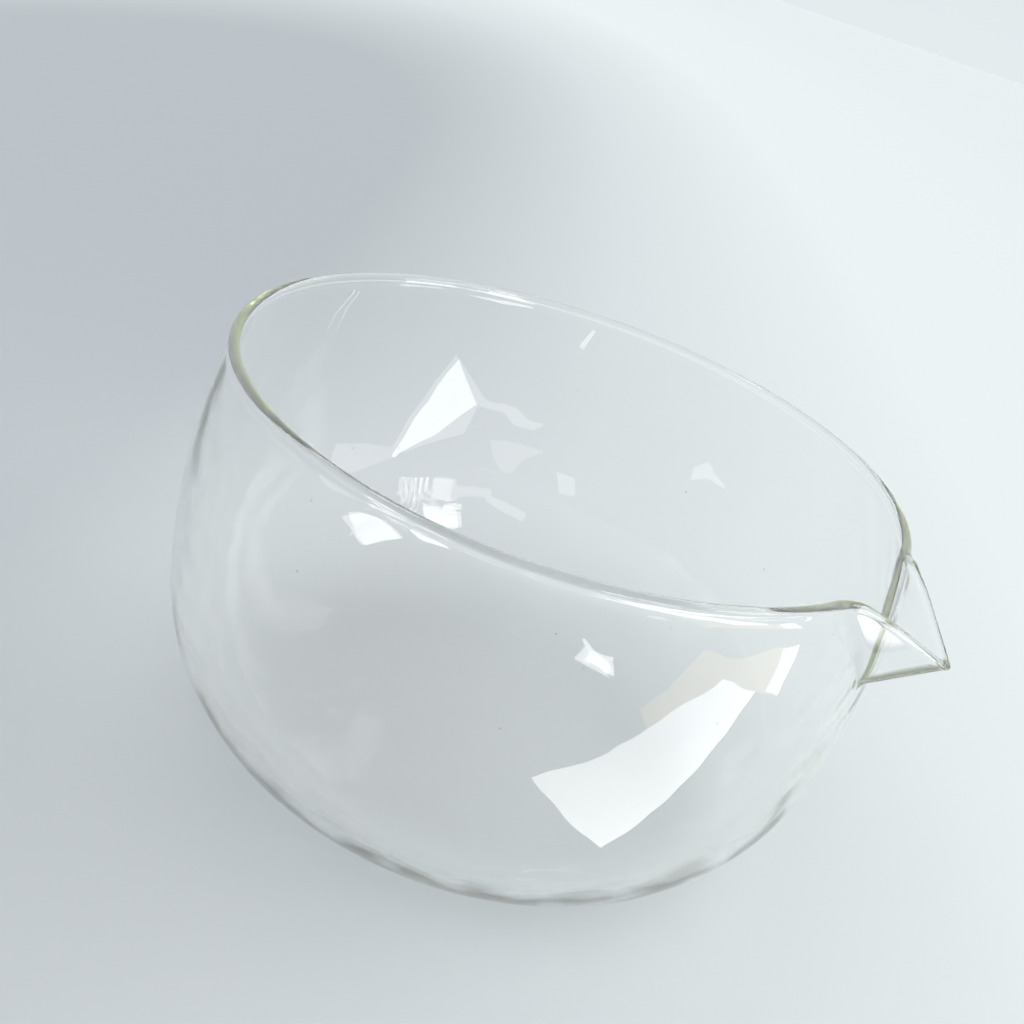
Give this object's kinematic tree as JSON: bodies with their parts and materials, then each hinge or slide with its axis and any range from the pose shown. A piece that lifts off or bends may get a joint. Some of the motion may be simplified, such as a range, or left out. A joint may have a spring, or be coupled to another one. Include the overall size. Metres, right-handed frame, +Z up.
{
  "type": "mixing bowl",
  "caption": "Clear blown glass bowl with a rounded belly, flat base, fire-polished rim and a pulled V-shaped pouring spout.",
  "frame": {"origin": "centre of the flat base, on its underside", "axes": "+Z up through the middle of the mouth, +X towards the tip of the pouring spout, +Y completes the frame"},
  "size_m": [0.1357, 0.1258, 0.075],
  "materials": {
    "clear_glass": "clear, smooth, fire-polished borosilicate with a faint grey-green tint where it is seen edge on"
  },
  "bodies": {
    "root": {"bowl_base": "clear_glass", "bowl_heel": "clear_glass", "bowl_wall": "clear_glass", "rim_bead": "clear_glass", "pouring_spout": "clear_glass"}
  },
  "joints": []
}
